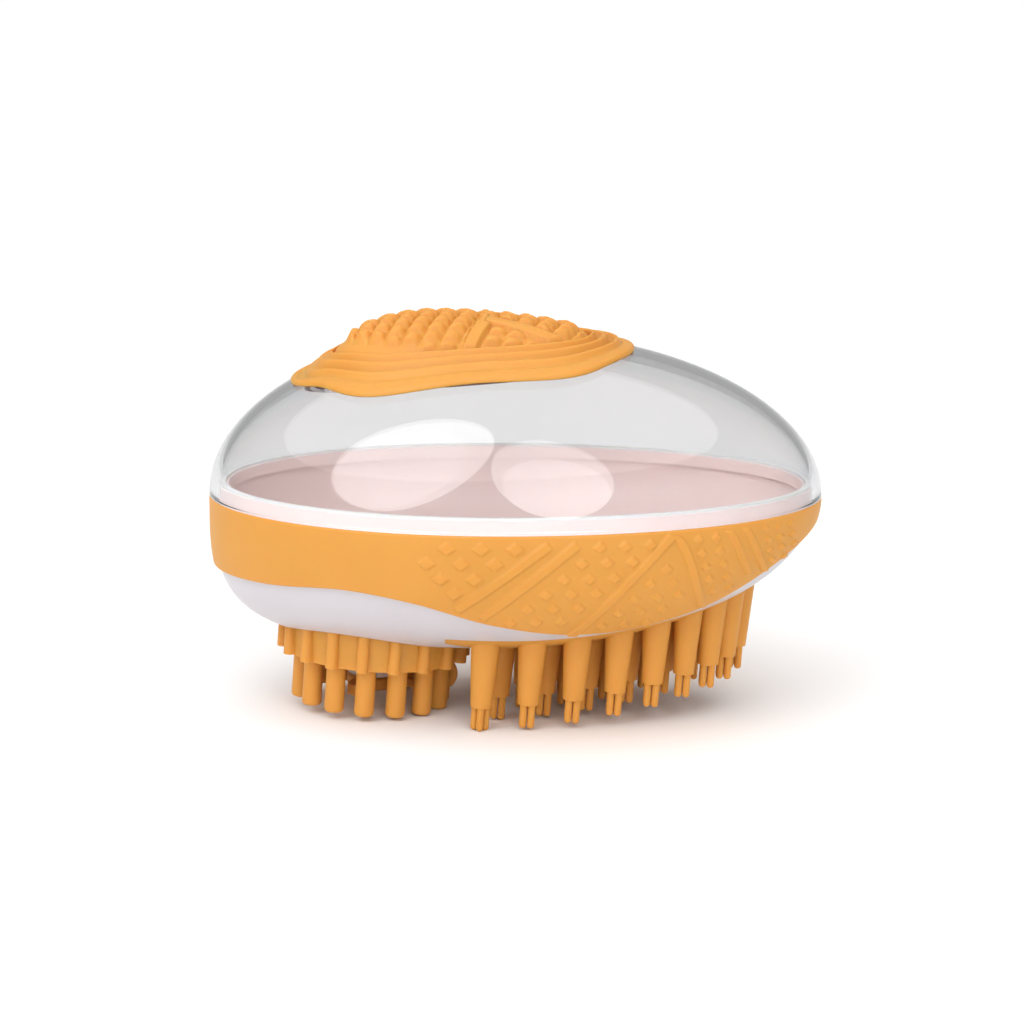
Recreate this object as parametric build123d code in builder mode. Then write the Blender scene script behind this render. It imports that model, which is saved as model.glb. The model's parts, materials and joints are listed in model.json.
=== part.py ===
from build123d import *
import math
import os

# Pet bath brush: a hand-held shampoo reservoir with a press button on top, a bristle
# pad below the nose and a round, pegged screw cap below the blunt end.
# Frame: millimetres, +Z up, origin on the surface under the centre of the outline,
# +X towards the nose.  The grip's top edge is a level plane at RIM_Z.

# Body outline: two half ellipses that meet at the widest section
LENGTH = 125.0
WIDTH = 79.0
WIDEST_X = -4.0
RIM_Z = 44.6
DOME_HEIGHT = 33.0
BASE_DEPTH = 30.6
FLAT_DEPTH = 30.0
WALL = 2.0
BASE_WALL = 2.4
GRIP_THICKNESS = 1.0
FIT_GAP = 0.3

# Joint between the dome and the base
LIP_HEIGHT = 2.5
LIP_WALL = 1.8
LIP_INSET = WALL + 0.35
SEAL_HEIGHT = 0.5
SEAL_WIDTH = 0.9
SEAL_INSET = WALL + 0.65

# Press button
CROWN_X = -11.0
CROWN_LENGTH = 52.0
CROWN_WIDTH = 26.0
CROWN_PEAK_X = -16.0
CROWN_PEAK = 37.4
CROWN_HEIGHT = 12.4
CROWN_TAIL = 23.1
CROWN_NOSE = 44.0
CROWN_HALF_WIDTH = 14.2
CROWN_WALL = 1.6
BUTTON_X = -10.9
BUTTON_LENGTH = 70.8
BUTTON_WIDTH = 48.0
BUTTON_FLANGE = 1.0
NECK_WALL = 1.8
CLAMP_WALL = 3.6
CLAMP_THICKNESS = 1.4

# Screw cap, in a frame whose Z runs up the cap's tilted axis from the rim plane
CAP_X = -26.8
CAP_TILT = 3.9
CAP_BOTTOM = -33.4
POCKET_RADIUS = 20.2
POCKET_ROOF = -23.5
MOUTH_RADIUS = 15.2
MOUTH_BORE = 12.6
MOUTH_END = -28.9
CAP_RADIUS = 17.4
CAP_BORE = 15.6
CAP_TOP = -24.3
PLATE_TOP = -30.3
PLATE_THICKNESS = 1.5
BRUSH_TOP = -25.0
SKIRT_RADIUS_LOW = 17.9
SKIRT_RADIUS_HIGH = 18.5
RIB_COUNT = 18
RIB_WIDTH = 2.4
RIB_RELIEF = 0.75
RIB_ANGLE = -95.6
PEG_COUNT = 14
PEG_CIRCLE = 14.4
PEG_RADIUS = 2.0
PEG_LENGTH = 10.2
PEG_END_RADIUS = 0.8
PEG_ANGLE = -93.6

# Outlet in the middle of the cap
SPOUT_RADIUS = 5.0
SPOUT_BORE = 3.5
SPOUT_END = -38.0
VALVE_RADIUS = 7.6
VALVE_THICKNESS = 0.9
COLLAR_WALL = 1.2
RETAINER_THICKNESS = 1.2
PLUG_CLEARANCE = 0.08
PLUG_LENGTH = 4.0
STOPPER_RADIUS = 5.0
STOPPER_TOP = -38.3
STOPPER_THICKNESS = 2.6
TAB_ANGLE = -106.5
TAB_REACH = 9.5
TAB_WIDTH = 4.6
TAB_THICKNESS = 2.1
STRAP_THICKNESS = 2.0
STRAP_WIDTH = 1.8
STRAP_HIGH = -34.6
STRAP_LOW = -39.6
STRAP_REACH = 14.2
EYE_RADIUS = 6.9

# Bristle pad
PAD_THICKNESS = 1.2
PAD_X = -10.0
PAD_REACH = 60.0
PAD_HALF_WIDTH = 25.4
PAD_CAP_GAP = 27.0
TIP_RISE = 0.0026
TIP_SLOPE = 0.05
TIP_LENGTH = 4.9
TIP_RADIUS = 0.74
TIP_OFFSET = 0.8
BRISTLE_END_RADIUS = 2.15
BRISTLE_ROOT_RADIUS = 3.15
BRISTLE_CONE = 16.5
FRONT_ROW = (55.0, 20.5, [0] + list(range(17, 88, 10)))
MIDDLE_ROW = (46.0, 12.3, [0, 30, 45, 58, 70, 82])
INNER_ROW_Y = 4.1
INNER_ROW_X = (1.6, 10.2, 18.6)
LAST_INNER_X = 26.8
FIRST_BRISTLE_X = -7.5
TURNED_BEFORE_X = -6.0


def reach(side, inset=0.0):
    """Distance from the widest section to the tail (side -1) or the nose (side +1)."""
    return LENGTH / 2 - side * WIDEST_X - inset


def egg(length_tail, length_nose, half_width, height, centre):
    """Egg-shaped ellipsoid made of two stretched half balls."""
    with BuildPart() as tail:
        Sphere(1)
        split(bisect_by=Plane.YZ, keep=Keep.BOTTOM)
        scale(by=(length_tail, half_width, height))
    with BuildPart() as nose:
        Sphere(1)
        split(bisect_by=Plane.YZ, keep=Keep.TOP)
        scale(by=(length_nose, half_width, height))
    with BuildPart() as whole:
        with Locations(centre):
            add(tail.part)
            add(nose.part)
    return whole.part


def dome_solid(inset):
    """The dome's filled shape, smaller by inset all round."""
    return egg(
        reach(-1, inset),
        reach(1, inset),
        WIDTH / 2 - inset,
        DOME_HEIGHT - inset,
        (WIDEST_X, 0, RIM_Z),
    )


def crown_solid(inset):
    """The press button's crown, filled."""
    return egg(
        CROWN_TAIL - inset,
        CROWN_NOSE - inset,
        CROWN_HALF_WIDTH - inset,
        CROWN_HEIGHT - inset,
        (CROWN_PEAK_X, 0, RIM_Z + CROWN_PEAK - CROWN_HEIGHT),
    )


def shrink(depth, power):
    """Size of a base section, as a share of the rim's, on a superellipse."""
    return (1 - (depth / BASE_DEPTH) ** power) ** (1 / power)


def egg_outline(tail, nose, half_width):
    """Flat shape inside two half ellipses."""
    with BuildSketch() as outline:
        with BuildLine():
            EllipticalCenterArc((WIDEST_X, 0), tail, half_width, start_angle=90, arc_size=180)
            EllipticalCenterArc((WIDEST_X, 0), nose, half_width, start_angle=270, arc_size=180)
        make_face()
    return outline.sketch


def rim_outline(inset):
    """The outline at the rim plane, smaller by inset all round."""
    return egg_outline(reach(-1, inset), reach(1, inset), WIDTH / 2 - inset)


def base_solid(grow):
    """The base's filled shape, larger by grow all round and at the bottom."""
    with BuildPart() as body:
        for depth in (0, 6, 12, 17, 21.5, 25, 27.6, 29.2, FLAT_DEPTH):
            drop = depth * (1 + grow / FLAT_DEPTH)
            with BuildSketch(Plane.XY.offset(RIM_Z - drop)):
                tail = reach(-1, GRIP_THICKNESS) * shrink(depth, 3.8)
                nose = reach(1, GRIP_THICKNESS) * shrink(depth, 2.0)
                half_width = (WIDTH / 2 - GRIP_THICKNESS) * shrink(depth, 2.3)
                add(egg_outline(tail + grow, nose + grow, half_width + grow))
        loft()
    return body.part


def ellipse_column(x, length, width, low, high):
    """Upright elliptical column between two heights above the rim plane."""
    with BuildPart() as column:
        with BuildSketch(Plane.XY.offset(RIM_Z + low)):
            with Locations((x, 0)):
                Ellipse(length / 2, width / 2)
        extrude(amount=high - low)
    return column.part


tilt = math.radians(CAP_TILT)
cap_plane = Plane(
    origin=(CAP_X, 0, RIM_Z),
    x_dir=(math.cos(tilt), 0, -math.sin(tilt)),
    z_dir=(math.sin(tilt), 0, math.cos(tilt)),
)


def cap_disc(radius, low, high, bore=0.0):
    """Disc or ring on the cap's axis, between two heights on that axis."""
    with BuildPart() as disc:
        with BuildSketch(cap_plane.offset(low)):
            Circle(radius)
            if bore:
                Circle(bore, mode=Mode.SUBTRACT)
        extrude(amount=high - low)
    return disc.part


def finish(builder, name):
    """Label a finished piece and write its file."""
    builder.part.label = name
    export_step(builder.part, f"parts/{name}.step")


os.makedirs("parts", exist_ok=True)

dome_outer = dome_solid(0)
base_outer = base_solid(0)

# Clear dome, open below and at the button
with BuildPart() as clear_dome:
    add(dome_outer)
    add(dome_solid(WALL), mode=Mode.SUBTRACT)
    split(bisect_by=Plane.XY.offset(RIM_Z), keep=Keep.TOP)
    add(
        ellipse_column(
            CROWN_X,
            CROWN_LENGTH + 2 * (FIT_GAP + NECK_WALL) + 0.2,
            CROWN_WIDTH + 2 * (FIT_GAP + NECK_WALL) + 0.2,
            0,
            50,
        ),
        mode=Mode.SUBTRACT,
    )
finish(clear_dome, "clear_dome")

# Skin of the bristle pad, let into the underside of the base round the cap
axis_foot = cap_plane.from_local_coords((0, 0, -30))
with BuildPart() as pad_block:
    with BuildSketch(Plane.XY):
        with Locations((PAD_X, 0)):
            Ellipse(PAD_REACH, PAD_HALF_WIDTH)
        with Locations((axis_foot.X, 0)):
            Circle(PAD_CAP_GAP, mode=Mode.SUBTRACT)
        with Locations((PAD_X - PAD_REACH, 0)):
            Rectangle(2 * (PAD_REACH - 4), 100, mode=Mode.SUBTRACT)
    extrude(amount=RIM_Z - 6)
    add(base_outer, mode=Mode.INTERSECT)
    add(base_solid(-PAD_THICKNESS), mode=Mode.SUBTRACT)
pad_skin = pad_block.part

# Base shell: bowl, lip that plugs into the dome, cap pocket and filler mouth
with BuildPart() as cavity:
    add(base_solid(-BASE_WALL))
    with BuildSketch(Plane.XY.offset(RIM_Z)):
        add(rim_outline(LIP_INSET + LIP_WALL))
    extrude(amount=LIP_HEIGHT)
    add(
        cap_disc(POCKET_RADIUS + WALL, CAP_BOTTOM, POCKET_ROOF + WALL),
        mode=Mode.SUBTRACT,
    )

with BuildPart() as base_shell:
    add(base_outer)
    with BuildSketch(Plane.XY.offset(RIM_Z)):
        add(rim_outline(LIP_INSET))
    extrude(amount=LIP_HEIGHT)
    add(cavity.part, mode=Mode.SUBTRACT)
    add(pad_skin, mode=Mode.SUBTRACT)
    add(cap_disc(POCKET_RADIUS, -50, POCKET_ROOF, bore=MOUTH_RADIUS), mode=Mode.SUBTRACT)
    add(cap_disc(MOUTH_RADIUS, -50, MOUTH_END), mode=Mode.SUBTRACT)
    add(cap_disc(MOUTH_BORE, -50, POCKET_ROOF + 2 * WALL), mode=Mode.SUBTRACT)
finish(base_shell, "base_shell")

# Seal that lies on the lip, inside the dome
with BuildPart() as rim_seal:
    with BuildSketch(Plane.XY.offset(RIM_Z + LIP_HEIGHT)):
        add(rim_outline(SEAL_INSET))
        add(rim_outline(SEAL_INSET + SEAL_WIDTH), mode=Mode.SUBTRACT)
    extrude(amount=SEAL_HEIGHT)
finish(rim_seal, "rim_seal")

# Grip band: a sleeve over the base with a wavy lower edge
with BuildPart() as grip_band:
    with BuildSketch(Plane.XZ):
        with BuildLine():
            wave = Spline(
                (-66, RIM_Z - 14.8),
                (-50, RIM_Z - 14.2),
                (-33, RIM_Z - 13.1),
                (-20, RIM_Z - 15.1),
                (-4, RIM_Z - 20.1),
                (12, RIM_Z - 23.0),
                (29.5, RIM_Z - 21.3),
                (40, RIM_Z - 17.8),
                (50, RIM_Z - 12.4),
                (58, RIM_Z - 7.5),
                (66, RIM_Z - 2.0),
            )
            Polyline((-66, RIM_Z - 14.8), (-66, RIM_Z), (66, RIM_Z), (66, RIM_Z - 2.0))
        make_face()
    extrude(amount=50, both=True)
    add(base_solid(GRIP_THICKNESS), mode=Mode.INTERSECT)
    add(base_outer, mode=Mode.SUBTRACT)
finish(grip_band, "grip_band")

# Screw cap: skirt, end plate, collar for the valve and outlet spout
plate_bottom = PLATE_TOP - PLATE_THICKNESS
collar_top = PLATE_TOP + VALVE_THICKNESS + RETAINER_THICKNESS
with BuildPart() as filler_cap:
    add(cap_disc(CAP_RADIUS, plate_bottom, CAP_TOP))
    add(cap_disc(CAP_BORE, PLATE_TOP, CAP_TOP), mode=Mode.SUBTRACT)
    add(cap_disc(VALVE_RADIUS + COLLAR_WALL, PLATE_TOP, collar_top, bore=VALVE_RADIUS))
    add(cap_disc(SPOUT_RADIUS, SPOUT_END, plate_bottom))
    add(cap_disc(SPOUT_BORE, SPOUT_END, PLATE_TOP), mode=Mode.SUBTRACT)
finish(filler_cap, "filler_cap")

# Flat washer between the mouth and the cap's end plate
with BuildPart() as cap_gasket:
    add(cap_disc(CAP_BORE - 0.3, PLATE_TOP + 0.1, MOUTH_END - 0.1, bore=MOUTH_BORE - 0.6))
finish(cap_gasket, "cap_gasket")

# Slit valve over the spout and the ring that holds it down
with BuildPart() as outlet_valve:
    add(cap_disc(VALVE_RADIUS, PLATE_TOP, PLATE_TOP + VALVE_THICKNESS))
    with BuildSketch(cap_plane.offset(PLATE_TOP)):
        Rectangle(4.4, 0.25)
        Rectangle(0.25, 4.4)
    extrude(amount=VALVE_THICKNESS, mode=Mode.SUBTRACT)
finish(outlet_valve, "outlet_valve")

with BuildPart() as valve_retainer:
    add(
        cap_disc(
            VALVE_RADIUS,
            PLATE_TOP + VALVE_THICKNESS,
            collar_top,
            bore=SPOUT_BORE + 0.5,
        )
    )
finish(valve_retainer, "valve_retainer")

# Soft cover of the cap: ribbed skirt and massage pegs
with BuildPart() as cap_brush:
    with BuildSketch(cap_plane.offset(CAP_BOTTOM)):
        Circle(SKIRT_RADIUS_LOW)
    with BuildSketch(cap_plane.offset(BRUSH_TOP)):
        Circle(SKIRT_RADIUS_HIGH)
    loft()
    with BuildSketch(cap_plane.offset(CAP_BOTTOM)):
        with PolarLocations(SKIRT_RADIUS_LOW - 0.6, RIB_COUNT, start_angle=RIB_ANGLE):
            SlotOverall(2 * (RIB_RELIEF + 0.6) + RIB_WIDTH, RIB_WIDTH)
    ribs = extrude(amount=BRUSH_TOP - CAP_BOTTOM, mode=Mode.PRIVATE)
    add(ribs)
    with BuildSketch(cap_plane.offset(CAP_BOTTOM)):
        with PolarLocations(PEG_CIRCLE, PEG_COUNT, start_angle=PEG_ANGLE):
            Circle(PEG_RADIUS)
    extrude(amount=-PEG_LENGTH)
    peg_ends = edges(Select.LAST).group_by(Axis(cap_plane.origin, cap_plane.z_dir))[0]
    fillet(peg_ends, PEG_END_RADIUS)
    add(cap_disc(CAP_RADIUS, plate_bottom, 0), mode=Mode.SUBTRACT)
    add(cap_disc(SPOUT_RADIUS, CAP_BOTTOM - 5, plate_bottom), mode=Mode.SUBTRACT)
finish(cap_brush, "cap_brush")

# Stopper of the outlet, with a pull tab
with BuildPart() as outlet_stopper:
    add(cap_disc(STOPPER_RADIUS, STOPPER_TOP - STOPPER_THICKNESS, STOPPER_TOP))
    fillet(edges(), 0.7)
    add(cap_disc(SPOUT_BORE - PLUG_CLEARANCE, STOPPER_TOP, STOPPER_TOP + PLUG_LENGTH))
    tab_plane = cap_plane.offset(STOPPER_TOP - STOPPER_THICKNESS + 0.25)
    with BuildSketch(Plane(tab_plane.location * Rot(0, 0, TAB_ANGLE))):
        with Locations((TAB_REACH / 2, 0)):
            SlotOverall(TAB_REACH + TAB_WIDTH / 2, TAB_WIDTH)
    extrude(amount=TAB_THICKNESS)
finish(outlet_stopper, "outlet_stopper")

# Strap from an eye round the spout to the stopper, between two pegs
strap_angle = PEG_ANGLE + 3.5 * 360 / PEG_COUNT
strap_plane = Plane(cap_plane.location * Rot(0, 0, strap_angle) * Rot(90, 0, 0))
with BuildPart() as tether_strap:
    with BuildSketch(strap_plane):
        with BuildLine():
            Line((EYE_RADIUS - 0.8, STRAP_HIGH), (STRAP_REACH, STRAP_HIGH))
            ThreePointArc(
                (STRAP_REACH, STRAP_HIGH),
                (STRAP_REACH + (STRAP_HIGH - STRAP_LOW) / 2, (STRAP_HIGH + STRAP_LOW) / 2),
                (STRAP_REACH, STRAP_LOW),
            )
            Line((STRAP_REACH, STRAP_LOW), (STOPPER_RADIUS, STRAP_LOW))
        trace(line_width=STRAP_THICKNESS)
    extrude(amount=STRAP_WIDTH / 2, both=True)
    add(
        cap_disc(
            EYE_RADIUS,
            STRAP_HIGH - STRAP_THICKNESS / 2,
            STRAP_HIGH + STRAP_THICKNESS / 2,
            bore=SPOUT_RADIUS,
        )
    )
    add(
        cap_disc(STOPPER_RADIUS, STRAP_LOW - 2, STRAP_LOW + 2),
        mode=Mode.SUBTRACT,
    )
finish(tether_strap, "tether_strap")


def bristle_spots():
    """Centres of the bristles in plan."""
    spots = []
    for length, half_width, angles in (FRONT_ROW, MIDDLE_ROW):
        for angle in angles:
            for side in (-1, 1) if angle else (1,):
                turn = math.radians(angle)
                x = PAD_X + length * math.cos(turn)
                spots.append((x, side * half_width * math.sin(turn)))
    for x in INNER_ROW_X:
        spots += [(x, -INNER_ROW_Y), (x, INNER_ROW_Y)]
    spots.append((LAST_INNER_X, 0))
    return spots


def bristle_tip(x):
    """Height of a bristle's tips, which rise towards the nose."""
    return TIP_RISE * max(x, 0.0) ** 2 + TIP_SLOPE * max(x - FIRST_BRISTLE_X, 0.0)


# One bristle: a cone that ends in four thin round-ended tips
with BuildPart() as bristle:
    with Locations((0, 0, TIP_LENGTH)):
        Cone(
            BRISTLE_END_RADIUS,
            BRISTLE_ROOT_RADIUS,
            BRISTLE_CONE,
            align=(Align.CENTER, Align.CENTER, Align.MIN),
        )
    with BuildSketch(Plane.XY):
        with GridLocations(2 * TIP_OFFSET, 2 * TIP_OFFSET, 2, 2):
            Circle(TIP_RADIUS)
    extrude(amount=TIP_LENGTH)
    fillet(edges().group_by(Axis.Z)[0], TIP_RADIUS - 0.05)

# Bristle pad: the skin with all bristles on it
with BuildPart() as bristle_pad:
    add(pad_skin)
    for x, y in bristle_spots():
        turn = 45 if x < TURNED_BEFORE_X else 0
        add(Pos(x, y, bristle_tip(x)) * Rot(0, CAP_TILT, 0) * Rot(0, 0, turn) * bristle.part)
    add(base_solid(-PAD_THICKNESS), mode=Mode.SUBTRACT)
finish(bristle_pad, "bristle_pad")

# Press button: crown that travels
with BuildPart() as button_crown:
    add(crown_solid(0))
    add(
        ellipse_column(CROWN_X, CROWN_LENGTH, CROWN_WIDTH, 27, 50),
        mode=Mode.INTERSECT,
    )
    add(crown_solid(CROWN_WALL), mode=Mode.SUBTRACT)
finish(button_crown, "button_crown")

# Press button: flange on the dome and neck through its opening
hole_length = CROWN_LENGTH + 2 * FIT_GAP
hole_width = CROWN_WIDTH + 2 * FIT_GAP
with BuildPart() as button_neck:
    add(dome_solid(-BUTTON_FLANGE / 2))
    add(
        ellipse_column(
            CROWN_X,
            hole_length + 2 * NECK_WALL,
            hole_width + 2 * NECK_WALL,
            0,
            50,
        ),
        mode=Mode.INTERSECT,
    )
    add(dome_solid(WALL + CLAMP_THICKNESS), mode=Mode.SUBTRACT)

with BuildPart() as button_rim:
    add(dome_solid(-BUTTON_FLANGE))
    add(
        ellipse_column(BUTTON_X, BUTTON_LENGTH, BUTTON_WIDTH, 0, 50),
        mode=Mode.INTERSECT,
    )
    add(dome_outer, mode=Mode.SUBTRACT)
    add(button_neck.part)
    add(
        ellipse_column(CROWN_X, hole_length, hole_width, 0, 50),
        mode=Mode.SUBTRACT,
    )
finish(button_rim, "button_rim")

# Ring that clamps the button's neck inside the dome
with BuildPart() as button_clamp:
    add(dome_solid(WALL))
    add(
        ellipse_column(
            CROWN_X,
            hole_length + 2 * (NECK_WALL + CLAMP_WALL),
            hole_width + 2 * (NECK_WALL + CLAMP_WALL),
            0,
            50,
        ),
        mode=Mode.INTERSECT,
    )
    add(dome_solid(WALL + CLAMP_THICKNESS), mode=Mode.SUBTRACT)
    add(
        ellipse_column(
            CROWN_X,
            hole_length + 2 * NECK_WALL,
            hole_width + 2 * NECK_WALL,
            0,
            50,
        ),
        mode=Mode.SUBTRACT,
    )
finish(button_clamp, "button_clamp")
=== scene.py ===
import json
import math

import bpy
import numpy as np
from mathutils import Matrix, Vector


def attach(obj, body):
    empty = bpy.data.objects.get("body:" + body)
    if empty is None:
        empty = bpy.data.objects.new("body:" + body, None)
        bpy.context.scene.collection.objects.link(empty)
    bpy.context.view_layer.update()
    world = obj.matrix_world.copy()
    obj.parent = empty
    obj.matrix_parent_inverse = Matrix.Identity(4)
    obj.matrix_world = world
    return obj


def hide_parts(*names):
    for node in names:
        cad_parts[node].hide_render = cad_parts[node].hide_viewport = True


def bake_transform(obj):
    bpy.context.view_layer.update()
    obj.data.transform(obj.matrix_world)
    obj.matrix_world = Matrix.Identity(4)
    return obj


MM = 0.001

# Body outline and heights, in millimetres, as in the CAD part
WIDEST_X = -4.0
TAIL = 58.5
NOSE = 66.5
HALF_WIDTH = 39.5
RIM_Z = 44.6
DOME_HEIGHT = 33.0
DOME_WALL = 2.0
BASE_DEPTH = 30.6
FLAT_DEPTH = 30.0
GRIP_THICKNESS = 1.0

CROWN_X = -11.0
CROWN_A = 26.0
CROWN_B = 13.0
CROWN_PEAK_X = -16.0
CROWN_PEAK = 37.4
CROWN_HEIGHT = 12.4
CROWN_TAIL = 23.1
CROWN_NOSE = 44.0
CROWN_HALF = 14.2
BUTTON_X = -10.9
BUTTON_A = 35.4
BUTTON_B = 24.0
HOLE_GAP = 0.3
CLAMP_DEPTH = 3.4

CAP_X = -26.8
CAP_TILT = math.radians(3.9)
STRAP_ANGLE = math.radians(-3.6)
STRAP_HIGH = -34.6
STRAP_LOW = -39.6
STRAP_REACH = 14.2
SPOUT_RADIUS = 5.0
EYE_RADIUS = 6.9

# Grip band: height of its pattern, its rounded edges, the gap to the base, and a depth
# below its lower edge
GRIP_RELIEF = 0.42
GRIP_EDGE_REACH = 0.6
GRIP_EDGE_DROP = 0.45
GRIP_SEAT = 0.04
GRIP_DEEPEST = 29.0

# Crown of the button: studs in slanting columns, cut by rows of notches, then how far its
# top is let down, its wall, and the height of the wall's foot above the rim
STUD_HEIGHT = 1.75
STUD_PITCH = 4.05
STUD_HALF = 1.85
NOTCH_PITCH = 2.3
BAR_HEIGHT = 1.35
CROWN_SINK = 1.15
CROWN_WALL = 2.4
CROWN_FOOT = 27.0

# Flange of the button: its rise over the dome, its step below the crown, its ridges,
# its neck, and how much wider than the opening the dome's own hole is
FLANGE_RISE = 0.95
FLANGE_STEP = 0.75
FLANGE_SEAT = 0.03
RIDGE_HEIGHT = 0.7
RIDGE_PERIOD = 0.3
NECK_WALL = 1.75
DOME_HOLE = 1.9

# Strap: half sizes of its section, and how far from the spout it starts, inside its eye
STRAP_HALF_THICK = 0.95
STRAP_HALF_WIDE = 0.88
STRAP_START = 0.9

# Camera of the product shot: distance in metres, lens in millimetres
CAMERA_DISTANCE = 0.9
CAMERA_ELEVATION = math.radians(12.645)
CAMERA_ROLL = math.radians(0.259)
LENS = 154.93
SHIFT_X = -0.0034
SHIFT_Y = -0.0192

# Sockets of a mix node that mixes colours: its two colours and the result
MIX_FIRST = 6
MIX_SECOND = 7
MIX_RESULT = 2


# Curves ---------------------------------------------------------------------


def smooth_step(value, low, high):
    """0 below low, 1 above high, smooth between."""
    t = np.clip((value - low) / (high - low), 0.0, 1.0)
    return t * t * (3 - 2 * t)


def hump(value, centre, width):
    """Smooth bump of height 1."""
    return np.exp(-(((value - centre) / width) ** 2))


def angle_from(angle, centre):
    """Signed difference of two angles."""
    return (angle - centre + np.pi) % (2 * np.pi) - np.pi


def edge_round(distance, reach, drop):
    """Fall of a rounded edge: the whole drop at the edge, nothing beyond its reach."""
    share = np.clip(distance / reach, 0, 1)
    return drop * (1 - np.sqrt(np.clip(1 - (1 - share) ** 2, 0, 1)))


def turn_points(count):
    """Angles of points evenly spaced round a full turn."""
    return np.linspace(0, 2 * np.pi, count, endpoint=False)


def smooth_curve(x, stops, values):
    """Smooth curve through a few points (cubic, with slopes from the neighbours)."""
    stops = np.array(stops, float)
    values = np.array(values, float)
    slopes = np.gradient(values, stops)
    at = np.clip(np.searchsorted(stops, x) - 1, 0, len(stops) - 2)
    width = stops[at + 1] - stops[at]
    t = np.clip((x - stops[at]) / width, 0, 1)
    start = values[at] * (1 + 2 * t) * (1 - t) ** 2 + slopes[at] * width * t * (1 - t) ** 2
    end = values[at + 1] * t * t * (3 - 2 * t) + slopes[at + 1] * width * t * t * (t - 1)
    return start + end


# Meshes ---------------------------------------------------------------------


def tube_mesh(name, grid):
    """Closed smooth mesh from a grid of points in mm that wraps both ways."""
    rows, columns, _ = grid.shape
    points = grid.reshape(-1, 3) * MM
    row = np.arange(rows)[:, None]
    column = np.arange(columns)[None, :]
    next_row = (row + 1) % rows
    next_column = (column + 1) % columns
    faces = np.stack(
        [
            row * columns + column,
            row * columns + next_column,
            next_row * columns + next_column,
            next_row * columns + column,
        ],
        axis=-1,
    ).reshape(-1, 4)
    return make_mesh(name, points, faces)


def cap_mesh(name, grid):
    """Closed smooth mesh from a grid whose first and last rows shrink to a point."""
    rows, columns, _ = grid.shape
    inner = grid[1:-1].reshape(-1, 3) * MM
    points = np.vstack([grid[0, :1] * MM, inner, grid[-1, :1] * MM])
    column = np.arange(columns)
    after = (column + 1) % columns
    first_row = 1
    faces = [(0, first_row + here, first_row + there) for here, there in zip(column, after)]
    for row in range(rows - 3):
        upper = first_row + row * columns
        lower = upper + columns
        faces += list(zip(upper + column, lower + column, lower + after, upper + after))
    last = len(points) - 1
    last_row = first_row + (rows - 3) * columns
    faces += [(last, last_row + there, last_row + here) for here, there in zip(column, after)]
    return make_mesh(name, points, faces)


def make_mesh(name, points, faces):
    """Blender object with smooth shading and outward faces."""
    mesh = bpy.data.meshes.new(name)
    mesh.from_pydata([tuple(p) for p in points], [], [tuple(int(i) for i in f) for f in faces])
    mesh.validate()
    mesh.update()
    mesh.polygons.foreach_set("use_smooth", [True] * len(mesh.polygons))
    piece = bpy.data.objects.new(name, mesh)
    bpy.context.scene.collection.objects.link(piece)
    if signed_volume(mesh) < 0:
        mesh.flip_normals()
    return piece


def signed_volume(mesh):
    """Six times the volume inside a closed mesh; negative when its faces point inwards."""
    mesh.calc_loop_triangles()
    count = len(mesh.loop_triangles)
    corners = np.empty(count * 3, dtype=np.int32)
    mesh.loop_triangles.foreach_get("vertices", corners)
    points = np.empty(len(mesh.vertices) * 3)
    mesh.vertices.foreach_get("co", points)
    triangle = points.reshape(-1, 3)[corners.reshape(-1, 3)]
    return np.einsum("ij,ij->i", triangle[:, 0], np.cross(triangle[:, 1], triangle[:, 2])).sum()


# Surfaces -------------------------------------------------------------------


def egg_share(x, y, inset=0.0):
    """Square of the distance from the outline's centre, as a share of its size there."""
    along = np.where(x < WIDEST_X, TAIL - inset, NOSE - inset)
    return ((x - WIDEST_X) / along) ** 2 + (y / (HALF_WIDTH - inset)) ** 2


def dome_height(x, y, inset=0.0):
    """Height of the dome above the rim plane."""
    return (DOME_HEIGHT - inset) * np.sqrt(np.clip(1 - egg_share(x, y, inset), 0, None))


def crown_height(x, y):
    """Height of the press button's crown above the rim plane, without its studs."""
    along = np.where(x < CROWN_PEAK_X, CROWN_TAIL, CROWN_NOSE)
    share = ((x - CROWN_PEAK_X) / along) ** 2 + (y / CROWN_HALF) ** 2
    return CROWN_PEAK - CROWN_HEIGHT + CROWN_HEIGHT * np.sqrt(np.clip(1 - share, 0, None))


def outline(angle, inset):
    """Plan points of the egg outline, smaller by inset."""
    along = np.where(np.cos(angle) < 0, TAIL - inset, NOSE - inset)
    return WIDEST_X + along * np.cos(angle), (HALF_WIDTH - inset) * np.sin(angle)


def base_point(angle, depth, grow):
    """Point on the base's outer surface, grown outwards, at a depth below the rim."""
    share = np.clip(depth / BASE_DEPTH, 0, 0.999)
    tail = (TAIL - GRIP_THICKNESS) * (1 - share**3.8) ** (1 / 3.8) + grow
    nose = (NOSE - GRIP_THICKNESS) * (1 - share**2.0) ** 0.5 + grow
    half = (HALF_WIDTH - GRIP_THICKNESS) * (1 - share**2.3) ** (1 / 2.3) + grow
    along = np.where(np.cos(angle) < 0, tail, nose)
    x = WIDEST_X + along * np.cos(angle)
    y = half * np.sin(angle)
    z = RIM_Z - depth * (1 + grow / FLAT_DEPTH)
    return np.stack([x, y, z], axis=-1)


def wave_height(x):
    """Height of the grip's wavy lower edge."""
    stops = [-66, -50, -33, -20, -4, 12, 29.5, 40, 50, 58, 66]
    falls = [14.8, 14.2, 13.1, 15.1, 20.1, 23.0, 21.3, 17.8, 12.4, 7.5, 2.0]
    return RIM_Z - smooth_curve(x, stops, falls)


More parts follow.
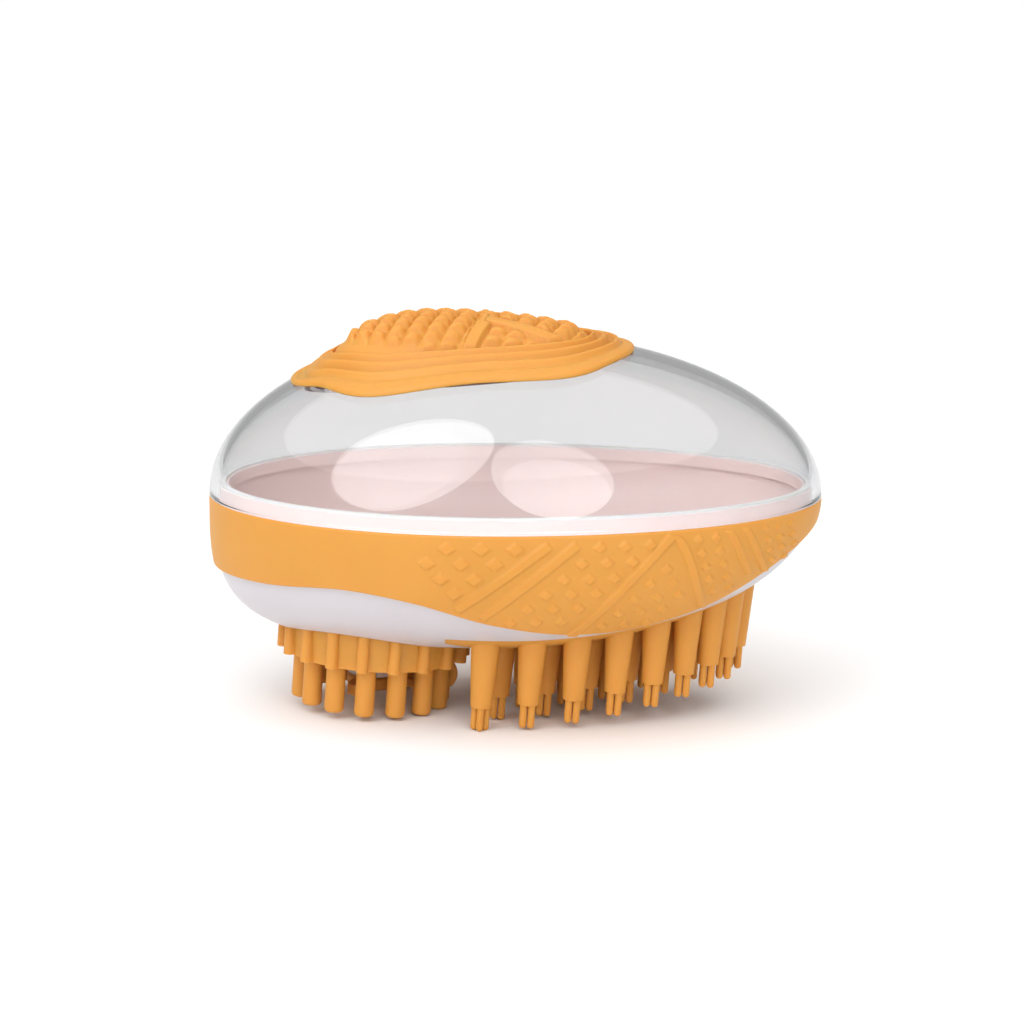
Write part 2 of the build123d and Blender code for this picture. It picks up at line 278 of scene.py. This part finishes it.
def wave_depth(angle):
    """Depth below the rim at which the grip ends, found by halving."""
    low = np.zeros(len(angle))
    high = np.full(len(angle), GRIP_DEEPEST)
    for _ in range(40):
        middle = (low + high) / 2
        point = base_point(angle, middle, GRIP_THICKNESS)
        above = point[:, 2] > wave_height(point[:, 0])
        low = np.where(above, middle, low)
        high = np.where(above, high, middle)
    return low


def surface_normal(grid):
    """Outward unit normals of a grid that wraps along its second axis."""
    around = np.roll(grid, -1, axis=1) - np.roll(grid, 1, axis=1)
    down = np.gradient(grid, axis=0)
    normal = np.cross(around, down)
    normal /= np.linalg.norm(normal, axis=-1, keepdims=True)
    outward = grid - np.array([WIDEST_X, 0.0, RIM_Z])
    sign = np.sign(np.einsum("ijk,ijk->ij", normal, outward))
    return normal * sign[..., None]


# Relief of the grip ---------------------------------------------------------


def diamond(x, depth, at_x, at_depth, half_x, half_depth):
    """Raised diamond with sloping sides, 0 to 1."""
    reach = np.abs(x - at_x) / half_x + np.abs(depth - at_depth) / half_depth
    return 1 - smooth_step(reach, 0.78, 1.05)


def bar(x, depth, start, end, width):
    """Raised flat bar from start to end, 0 to 1."""
    (x0, d0), (x1, d1) = start, end
    length = math.hypot(x1 - x0, d1 - d0)
    along = ((x - x0) * (x1 - x0) + (depth - d0) * (d1 - d0)) / length
    across = np.abs((x - x0) * (d1 - d0) - (depth - d0) * (x1 - x0)) / length
    past = np.maximum(np.maximum(-along, along - length), 0)
    return 1 - smooth_step(np.maximum(across, past + width / 2), width / 2, width / 2 + 0.22)


def diamond_field(x, depth, start, row_step, place_step, half, rows):
    """Rows of raised diamonds, 0 to 1; each row lists which of its places are filled."""
    field = np.zeros_like(x)
    for row, places in enumerate(rows):
        for place in places:
            at_x = start[0] + row_step[0] * row + place_step * place
            at_depth = start[1] + row_step[1] * row
            field = np.maximum(field, diamond(x, depth, at_x, at_depth, *half))
    return field


def rib(x, depth, start, swing, length, power, half_width, top, foot):
    """Raised rib that bends towards the nose on its way down, 0 to 1."""
    middle = start + swing * np.clip((depth - 1.2) / length, 0, 1) ** power
    shown = smooth_step(depth, *top) * (1 - smooth_step(depth, *foot))
    return (1 - smooth_step(np.abs(x - middle), half_width, half_width + 0.25)) * shown


def grip_relief(x, depth):
    """Raised pattern of the grip, 0 to 1, over x and depth below the rim."""
    tail_rows = [range(max(0, row - 1), 3) for row in range(4)]
    wedge_rows = [range(min(row, 3)) for row in range(1, 6)]
    wedge = diamond_field(x, depth, (30.0, 8.1), (-3.2, 3.1), 4.5, (1.25, 1.25), wedge_rows)
    nose = diamond_field(x, depth, (50.0, 2.2), (0.5, 2.4), 2.6, (0.85, 0.95), [range(3)] * 4)
    shapes = [
        diamond_field(x, depth, (-13.4, 2.7), (-4.0, 3.15), 6.7, (1.95, 1.6), tail_rows),
        diamond_field(x, depth, (16.6, 2.7), (-3.5, 3.25), 5.0, (1.45, 1.35), [range(3)] * 6),
        wedge * (1 - smooth_step(x - 35.5, 0.0, 0.3)),
        diamond_field(x, depth, (36.2, 2.4), (0.8, 3.0), 3.6, (1.1, 1.2), [range(2)] * 5),
        nose * 0.8,
        bar(x, depth, (6.6, 2.0), (-11.5, 15.8), 1.7),
        bar(x, depth, (12.1, 2.0), (-6.6, 17.6), 1.7),
        bar(x, depth, (30.9, 1.2), (11.0, 23.0), 1.5),
        rib(x, depth, 30.9, 6.4, 17.0, 0.5, 0.7, (1.0, 1.4), (18.0, 18.6)),
        rib(x, depth, 42.3, 5.0, 12.0, 0.8, 0.6, (1.0, 1.5), (11.5, 12.2)),
        rib(x, depth, 45.6, 5.0, 12.0, 0.8, 0.6, (1.0, 1.5), (11.5, 12.2)),
    ]
    return np.maximum.reduce(shapes)


def grip_mesh():
    """Grip band with its relief, a sleeve one wall thick over the base."""
    rows = 96
    angle = turn_points(1300)
    lowest = wave_depth(angle)[None, :]
    depth = np.linspace(0, 1, rows)[:, None] * lowest
    outer = base_point(angle[None, :], depth, GRIP_THICKNESS)
    normal = surface_normal(outer)
    fall = RIM_Z - outer[..., 2]
    raised = grip_relief(outer[..., 0], fall) * GRIP_RELIEF
    rounding = edge_round(np.minimum(fall, lowest - depth), GRIP_EDGE_REACH, GRIP_EDGE_DROP)
    outer = outer + normal * (raised - rounding)[..., None]
    inner = base_point(angle[None, :], depth, GRIP_SEAT)[::-1]
    return tube_mesh("grip_sleeve", np.concatenate([outer, inner[:: rows // 12]]))


# Dome -----------------------------------------------------------------------


def dome_mesh():
    """Clear dome: two shells joined at the rim and round the button's opening."""
    rows = 80
    angle = turn_points(480)
    hole_x = CROWN_X + (CROWN_A + HOLE_GAP + DOME_HOLE) * np.cos(angle)
    hole_y = (CROWN_B + HOLE_GAP + DOME_HOLE) * np.sin(angle)

    def shell(inset):
        rim_x, rim_y = outline(angle, inset)
        spread = np.sin(np.linspace(0, 1, rows) * np.pi / 2)[:, None]
        x = hole_x + (rim_x - hole_x) * spread
        y = hole_y + (rim_y - hole_y) * spread
        z = RIM_Z + dome_height(x, y, inset)
        return np.stack([x, y, z], axis=-1)

    return tube_mesh("dome_shell", np.concatenate([shell(0), shell(DOME_WALL)[::-1]]))


# Press button ---------------------------------------------------------------


def crown_relief(x, y):
    """Height of the crown's studs and bars, in mm, the same on both sides of its middle."""
    side = np.abs(y)
    place = (x + 0.42 * side + 17.2) / STUD_PITCH
    across = np.abs(place - np.round(place)) * STUD_PITCH
    column = STUD_HEIGHT * np.clip(1 - (across / STUD_HALF) ** 2, 0, 1) ** 0.6
    row = side / NOTCH_PITCH
    notch = smooth_step(np.abs(row - np.round(row)), 0.14, 0.44)
    inside = smooth_step(side - 4.0 - 0.28 * (x + 5.8), 0.4, 1.0)
    inside *= smooth_step(x + 5.8 + 0.46 * (side - 4.0), 0.4, 1.0)
    relief = column * (1 - notch * (0.62 + 0.33 * inside)) * (1 - 0.3 * inside)
    fork = (-5.8, 3.4)
    for tip, width in (((-9.6, 12.0), 2.3), ((9.5, 7.6), 1.8)):
        groove = bar(x, side, fork, tip, width + 1.3)
        relief = np.maximum(relief * (1 - groove), BAR_HEIGHT * bar(x, side, fork, tip, width))
    edge = ((x - CROWN_X - 0.8) / (CROWN_A - 1.0)) ** 2 + (y / (CROWN_B - 0.7)) ** 2
    return relief * (1 - smooth_step(edge, 0.84, 0.97))


def crown_mesh():
    """Crown of the press button: a studded cap with its wall going down the opening."""
    angle = turn_points(400)

    def plan(share):
        return CROWN_X + CROWN_A * np.cos(angle) * share, CROWN_B * np.sin(angle) * share

    spread = np.linspace(0, 1, 120)[:, None]
    x, y = plan(spread)
    lip = edge_round(1 - smooth_step(spread, 0.955, 1.0), 1.0, 0.5)
    z = RIM_Z + crown_height(x, y) + crown_relief(x, y) - CROWN_SINK - lip
    top = np.stack([x, y, z], axis=-1)
    wall = [top[-1] - np.array([0, 0, fall]) for fall in (0.4, 1.0, 2.5)]
    foot = top[-1].copy()
    foot[:, 2] = RIM_Z + CROWN_FOOT
    wall.append(foot)
    inner = []
    for share in np.linspace(0.93, 0.0, 14):
        x, y = plan(share)
        height = np.full(len(angle), CROWN_FOOT)
        if share < 0.9:
            height = np.maximum(crown_height(x, y) - CROWN_WALL, CROWN_FOOT)
        inner.append(np.stack([x, y, RIM_Z + height], axis=-1))
    return cap_mesh("button_studs", np.concatenate([top, np.array(wall), np.array(inner)]))


def flange_edge(angle):
    """Plan size of the flange's wavy edge as a share of its ellipse."""
    turn = np.abs(angle_from(angle, 0.0))
    size = 0.985 + 0.04 * hump(turn, 0.87, 0.25) + 0.04 * hump(turn, 2.1, 0.25)
    return size - 0.045 * hump(turn, 1.5, 0.3) - 0.03 * hump(turn, 2.57, 0.2)


def flange_rise(angle, spread, distance, step):
    """Height of the flange over the dome: step at the opening, ridges, rounded edges."""
    fade = 1 - smooth_step(spread, 0.0, 0.62)
    rise = FLANGE_RISE + (step - FLANGE_RISE) * fade
    fade = 1 - smooth_step(spread, 0.62, 0.8)
    ridge = RIDGE_HEIGHT * np.cos(spread * 2 * np.pi / RIDGE_PERIOD) * fade
    tail = smooth_step(np.abs(angle_from(angle, 0.0)), 2.6, 3.1)[None, :]
    ridge = ridge * (1 - 0.5 * tail) - 1.3 * tail * hump(spread, 0.72, 0.16)
    outer = edge_round((1 - spread) * distance, 0.7, 0.7)
    inner = edge_round(spread * distance, 0.4, 0.35)
    return rise + ridge - outer - inner


def flange_mesh():
    """Flange of the press button, lying on the dome, and the neck down into its opening."""
    angle = turn_points(540)
    hole_x = CROWN_X + (CROWN_A + HOLE_GAP) * np.cos(angle)
    hole_y = (CROWN_B + HOLE_GAP) * np.sin(angle)
    size = flange_edge(angle)
    edge_x = BUTTON_X + BUTTON_A * size * np.cos(angle)
    edge_y = BUTTON_B * size * np.sin(angle)
    neck_x = CROWN_X + (CROWN_A + HOLE_GAP + NECK_WALL) * np.cos(angle)
    neck_y = (CROWN_B + HOLE_GAP + NECK_WALL) * np.sin(angle)
    rim = dome_height(hole_x, hole_y)

    def plan(share):
        return hole_x + (edge_x - hole_x) * share, hole_y + (edge_y - hole_y) * share

    def seat(x, y):
        return np.stack([x, y, RIM_Z + dome_height(x, y) + FLANGE_SEAT], axis=-1)

    spread = np.linspace(0, 1, 100)[:, None]
    distance = np.hypot(edge_x - hole_x, edge_y - hole_y)[None, :]
    step = np.clip(crown_height(hole_x, hole_y) - FLANGE_STEP - rim, 0.9, None)[None, :]
    x, y = plan(spread)
    z = RIM_Z + dome_height(x, y) + flange_rise(angle, spread, distance, step)
    rings = [seat(*plan(part / 11)) for part in range(11, 2, -1)]
    rings.append(seat(neck_x, neck_y))
    rings.append(np.stack([neck_x, neck_y, RIM_Z + rim - CLAMP_DEPTH], axis=-1))
    rings.append(np.stack([hole_x, hole_y, RIM_Z + rim - CLAMP_DEPTH], axis=-1))
    grid = np.concatenate([np.stack([x, y, z], axis=-1), np.array(rings)])
    return tube_mesh("button_flange", grid)


# Tether strap ---------------------------------------------------------------


def on_cap(angle, radius, height):
    """Point in mm from an angle, a radius and a height on the cap's tilted axis."""
    along = radius * np.cos(angle)
    x = CAP_X + along * math.cos(CAP_TILT) + height * math.sin(CAP_TILT)
    z = RIM_Z - along * math.sin(CAP_TILT) + height * math.cos(CAP_TILT)
    return np.stack([x, radius * np.sin(angle), z], axis=-1)


def merge(name, pieces):
    """One object out of several, each closed on its own."""
    points = []
    faces = []
    for piece in pieces:
        shift = len(points)
        points += [tuple(vertex.co) for vertex in piece.data.vertices]
        faces += [tuple(shift + i for i in face.vertices) for face in piece.data.polygons]
        bpy.data.objects.remove(piece)
    return make_mesh(name, points, faces)


def across_cap(angle):
    """Unit vector at right angles to a radius of the cap."""
    return on_cap(angle + math.pi / 2, 1.0, 0.0) - on_cap(0.0, 0.0, 0.0)


def strap_route():
    """Radius and height of the strap's centre line: out, round the bend and back."""
    bend = (STRAP_HIGH - STRAP_LOW) / 2
    middle = (STRAP_HIGH + STRAP_LOW) / 2
    turn = np.linspace(math.pi / 2, -math.pi / 2, 25)
    out = np.linspace(SPOUT_RADIUS + STRAP_START, STRAP_REACH, 20, endpoint=False)
    back = np.linspace(STRAP_REACH, SPOUT_RADIUS - 0.1, 21)[1:]
    high = np.full(len(out), STRAP_HIGH)
    low = np.full(len(back), STRAP_LOW)
    radius = np.concatenate([out, STRAP_REACH + bend * np.cos(turn), back])
    return radius, np.concatenate([high, middle + bend * np.sin(turn), low])


def squarish(value):
    """Sine or cosine pushed outwards, so that a circle turns into a rounded square."""
    return np.sign(value) * np.abs(value) ** 0.6


def strap_mesh():
    """Strap with rounded edges: an eye round the spout, a bend and a leg to the stopper."""
    radius, height = strap_route()
    slope_r = np.gradient(radius)
    slope_h = np.gradient(height)
    size = np.hypot(slope_r, slope_h)
    section = turn_points(24)
    thick = STRAP_HALF_THICK * squarish(np.cos(section))
    wide = squarish(np.sin(section))
    shares = np.ones(len(radius))
    shares[0] = shares[-1] = 0.0
    r = radius[:, None] - (slope_h / size * shares)[:, None] * thick
    h = height[:, None] + (slope_r / size * shares)[:, None] * thick
    grid = on_cap(STRAP_ANGLE, r, h)
    side = shares[:, None] * STRAP_HALF_WIDE * wide
    grid += side[..., None] * across_cap(STRAP_ANGLE)
    leg = cap_mesh("strap", grid)

    middle = (EYE_RADIUS + SPOUT_RADIUS) / 2
    half = (EYE_RADIUS - SPOUT_RADIUS) / 2 - 0.02
    eye = on_cap(turn_points(72)[:, None], middle + half * wide, STRAP_HIGH + thick)
    return merge("tether", [leg, tube_mesh("eye", eye)])


# Materials ------------------------------------------------------------------


def new_material(name):
    """Node material, with its nodes, its links and its shader node."""
    material = bpy.data.materials.new(name)
    material.use_nodes = True
    nodes = material.node_tree.nodes
    return material, nodes, material.node_tree.links, nodes["Principled BSDF"]


def add_noise(nodes, links, scale, detail=3.0):
    """Noise texture over object coordinates."""
    place = nodes.new("ShaderNodeTexCoord")
    noise = nodes.new("ShaderNodeTexNoise")
    noise.inputs["Scale"].default_value = scale
    noise.inputs["Detail"].default_value = detail
    links.new(place.outputs["Object"], noise.inputs["Vector"])
    return noise


def tint(nodes, links, noise, low, high, target):
    """Colour that drifts between two values with the noise."""
    ramp = nodes.new("ShaderNodeValToRGB")
    ramp.color_ramp.elements[0].position = 0.3
    ramp.color_ramp.elements[1].position = 0.7
    ramp.color_ramp.elements[0].color = (*low, 1)
    ramp.color_ramp.elements[1].color = (*high, 1)
    links.new(noise.outputs["Fac"], ramp.inputs["Fac"])
    links.new(ramp.outputs["Color"], target)


def roughen(nodes, links, noise, low, high, target):
    """Roughness that drifts between two values with the noise."""
    scale = nodes.new("ShaderNodeMapRange")
    scale.inputs["To Min"].default_value = low
    scale.inputs["To Max"].default_value = high
    links.new(noise.outputs["Fac"], scale.inputs["Value"])
    links.new(scale.outputs["Result"], target)


def bump(nodes, links, noise, distance, shader):
    """Fine surface texture."""
    node = nodes.new("ShaderNodeBump")
    node.inputs["Distance"].default_value = distance
    node.inputs["Strength"].default_value = 0.6
    links.new(noise.outputs["Fac"], node.inputs["Height"])
    links.new(node.outputs["Normal"], shader.inputs["Normal"])


def silicone(name, low, high, roughness, scatter):
    """Matt moulded silicone with a fine grain and slight scattering."""
    material, nodes, links, shader = new_material(name)
    cloud = add_noise(nodes, links, 60.0)
    grain = add_noise(nodes, links, 2600.0, 2.0)
    tint(nodes, links, cloud, low, high, shader.inputs["Base Color"])
    roughen(nodes, links, cloud, roughness - 0.05, roughness + 0.05, shader.inputs["Roughness"])
    bump(nodes, links, grain, 0.00004, shader)
    shader.inputs["Subsurface Weight"].default_value = scatter
    shader.inputs["Subsurface Radius"].default_value = (1.0, 0.35, 0.1)
    shader.inputs["Subsurface Scale"].default_value = 0.003
    shader.inputs["Specular IOR Level"].default_value = 0.25
    return material


def math_node(nodes, links, operation, first, second):
    """Output of a math node over one socket and a number or a second socket."""
    node = nodes.new("ShaderNodeMath")
    node.operation = operation
    links.new(first, node.inputs[0])
    if isinstance(second, float):
        node.inputs[1].default_value = second
    else:
        links.new(second, node.inputs[1])
    return node.outputs["Value"]


def painted_light_inside_or_above(nodes, links):
    """1 where a surface faces the middle of the body or stands above the rim, else 0; it marks
    where painted light goes.
    """
    geometry = nodes.new("ShaderNodeNewGeometry")
    offset = nodes.new("ShaderNodeVectorMath")
    offset.operation = "SUBTRACT"
    offset.inputs[1].default_value = (WIDEST_X * MM, 0, (RIM_Z + 2.0) * MM)
    links.new(geometry.outputs["Position"], offset.inputs[0])
    product = nodes.new("ShaderNodeVectorMath")
    product.operation = "DOT_PRODUCT"
    links.new(offset.outputs["Vector"], product.inputs[0])
    links.new(geometry.outputs["True Normal"], product.inputs[1])
    parts = nodes.new("ShaderNodeSeparateXYZ")
    links.new(geometry.outputs["Position"], parts.inputs["Vector"])
    inward = math_node(nodes, links, "LESS_THAN", product.outputs["Value"], 0.0)
    above = math_node(nodes, links, "GREATER_THAN", parts.outputs["Z"], RIM_Z * MM)
    return math_node(nodes, links, "MAXIMUM", inward, above)


def white_plastic(name):
    """Moulded white plastic, faintly lavender; inside and above the rim a brighter pink colour is
    painted in as light.
    """
    material, nodes, links, shader = new_material(name)
    cloud = add_noise(nodes, links, 40.0)
    grain = add_noise(nodes, links, 1800.0, 2.0)
    mix = nodes.new("ShaderNodeMix")
    mix.data_type = "RGBA"
    links.new(painted_light_inside_or_above(nodes, links), mix.inputs["Factor"])
    outer = mix.inputs[MIX_FIRST]
    tint(nodes, links, cloud, (0.55, 0.525, 0.56), (0.58, 0.555, 0.585), outer)
    # painted light: a brighter pink colour on inward faces and faces above the rim, standing in for
    # bounced light
    mix.inputs[MIX_SECOND].default_value = (0.86, 0.71, 0.685, 1)
    links.new(mix.outputs[MIX_RESULT], shader.inputs["Base Color"])
    roughen(nodes, links, cloud, 0.28, 0.36, shader.inputs["Roughness"])
    bump(nodes, links, grain, 0.000004, shader)
    shader.inputs["Subsurface Weight"].default_value = 0.25
    shader.inputs["Subsurface Radius"].default_value = (1.0, 0.8, 0.75)
    shader.inputs["Subsurface Scale"].default_value = 0.002
    return material


def clear_plastic(name):
    """Clear moulded plastic, greyer where it is thicker, that casts only a pale shadow."""
    material, nodes, links, shader = new_material(name)
    cloud = add_noise(nodes, links, 30.0)
    tint(nodes, links, cloud, (0.86, 0.86, 0.865), (0.88, 0.88, 0.885), shader.inputs["Base Color"])
    shader.inputs["Roughness"].default_value = 0.0
    shader.inputs["Transmission Weight"].default_value = 1.0
    shader.inputs["IOR"].default_value = 1.49
    through = nodes.new("ShaderNodeBsdfTransparent")
    through.inputs["Color"].default_value = (0.93, 0.93, 0.94, 1)
    rays = nodes.new("ShaderNodeLightPath")
    mix = nodes.new("ShaderNodeMixShader")
    output = nodes["Material Output"]
    links.new(rays.outputs["Is Shadow Ray"], mix.inputs["Fac"])
    links.new(shader.outputs["BSDF"], mix.inputs[1])
    links.new(through.outputs["BSDF"], mix.inputs[2])
    links.new(mix.outputs["Shader"], output.inputs["Surface"])
    grey = nodes.new("ShaderNodeVolumeAbsorption")
    grey.inputs["Color"].default_value = (0.5, 0.51, 0.52, 1)
    grey.inputs["Density"].default_value = 60.0
    links.new(grey.outputs["Volume"], output.inputs["Volume"])
    return material


def floor_material(name):
    """Matt white studio floor."""
    material, nodes, links, shader = new_material(name)
    cloud = add_noise(nodes, links, 3.0)
    tint(nodes, links, cloud, (0.93, 0.93, 0.93), (0.94, 0.94, 0.94), shader.inputs["Base Color"])
    shader.inputs["Roughness"].default_value = 0.9
    shader.inputs["Specular IOR Level"].default_value = 0.1
    return material


def dress(piece, material):
    """Give a piece one material."""
    piece.data.materials.clear()
    piece.data.materials.append(material)


# Studio ---------------------------------------------------------------------


def oval_lamp(name, place, size, power):
    """Oval lamp aimed at the object, in metres and watts."""
    data = bpy.data.lights.new(name, "AREA")
    data.shape = "ELLIPSE"
    data.size, data.size_y = size
    data.energy = power
    lamp = bpy.data.objects.new(name, data)
    lamp.location = place
    aim = Vector((0, 0, 0.04)) - Vector(place)
    lamp.rotation_euler = aim.to_track_quat("-Z", "Y").to_euler()
    bpy.context.scene.collection.objects.link(lamp)
    return lamp


def add_floor():
    """Pale floor, 80 m wide."""
    half = 40.0
    corners = [(-half, -half, 0), (half, -half, 0), (half, half, 0), (-half, half, 0)]
    mesh = bpy.data.meshes.new("studio_floor")
    mesh.from_pydata(corners, [], [(0, 1, 2, 3)])
    floor = bpy.data.objects.new("studio_floor", mesh)
    bpy.context.scene.collection.objects.link(floor)
    dress(floor, floor_material("studio_white"))


def studio():
    """Floor, two lamps for light, two for reflections, a wide sky and an even surround."""
    add_floor()
    for name, place, size, power in (
        ("lamp_left", (-0.56, -0.74, 0.72), (0.8, 1.35), 4.8),
        ("lamp_right", (0.26, -1.0, 0.52), (0.48, 1.05), 3.4),
    ):
        oval_lamp(name, place, size, power).visible_glossy = False
    for name, place, size, power in (
        ("glint_left", (-0.5, -0.74, 0.8), (0.9, 1.7), 11.0),
        ("glint_right", (0.25, -0.97, 0.66), (0.55, 1.4), 4.6),
    ):
        oval_lamp(name, place, size, power).visible_diffuse = False
    sun = bpy.data.lights.new("sky", "SUN")
    sun.energy = 1.75
    sun.angle = math.radians(100)
    sky = bpy.data.objects.new("sky", sun)
    sky.rotation_euler = (math.radians(8), math.radians(-6), 0)
    bpy.context.scene.collection.objects.link(sky)
    world = bpy.data.worlds.new("surround")
    world.use_nodes = True
    background = world.node_tree.nodes["Background"]
    background.inputs["Color"].default_value = (1, 1, 1, 1)
    background.inputs["Strength"].default_value = 0.5
    bpy.context.scene.world = world


def camera():
    """Camera at the height and distance of the product shot."""
    data = bpy.data.cameras.new("camera")
    data.sensor_width = 36.0
    data.lens = LENS
    data.shift_x = SHIFT_X
    data.shift_y = SHIFT_Y
    data.clip_start = 0.01
    view = bpy.data.objects.new("camera", data)
    target = Vector((0, 0, RIM_Z * MM))
    back = Vector((0, -math.cos(CAMERA_ELEVATION), math.sin(CAMERA_ELEVATION)))
    offset = back * CAMERA_DISTANCE
    tilt = Matrix.Rotation(math.pi / 2 - CAMERA_ELEVATION, 4, "X")
    turn = tilt @ Matrix.Rotation(CAMERA_ROLL, 4, "Z")
    view.matrix_world = Matrix.Translation(target + offset) @ turn
    bpy.context.scene.collection.objects.link(view)
    bpy.context.scene.camera = view


# Scene ----------------------------------------------------------------------


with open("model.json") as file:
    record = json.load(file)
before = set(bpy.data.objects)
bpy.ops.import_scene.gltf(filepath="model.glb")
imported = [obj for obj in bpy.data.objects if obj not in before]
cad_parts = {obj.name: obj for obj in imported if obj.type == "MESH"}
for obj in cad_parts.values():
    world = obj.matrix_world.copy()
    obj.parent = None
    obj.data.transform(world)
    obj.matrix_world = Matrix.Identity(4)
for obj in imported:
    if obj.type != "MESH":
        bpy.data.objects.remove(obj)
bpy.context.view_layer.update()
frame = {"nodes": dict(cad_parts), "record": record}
nodes = frame["nodes"]

orange = silicone("orange_silicone", (0.63, 0.285, 0.05), (0.66, 0.30, 0.056), 0.5, 0.4)
pale = silicone("white_silicone", (0.78, 0.78, 0.76), (0.82, 0.82, 0.80), 0.45, 0.2)
white = white_plastic("white_plastic")
clear = clear_plastic("clear_plastic")

finishes = {
    "orange_silicone": orange,
    "white_silicone": pale,
    "white_plastic": white,
    "clear_plastic": clear,
}
for entry in frame["record"]["subparts"]:
    if entry["node"] in nodes:
        dress(nodes[entry["node"]], finishes[entry["material_slot"]])

dome = dome_mesh()
dress(dome, clear)
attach(dome, "body")
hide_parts("clear_dome")

grip = grip_mesh()
dress(grip, orange)
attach(grip, "body")
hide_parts("grip_band")

crown = crown_mesh()
dress(crown, orange)
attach(crown, "button")
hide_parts("button_crown")

flange = flange_mesh()
dress(flange, orange)
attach(flange, "body")
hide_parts("button_rim")

strap = strap_mesh()
dress(strap, orange)
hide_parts("tether_strap")
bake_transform(strap)

studio()
camera()
bpy.context.scene.view_settings.view_transform = "Standard"
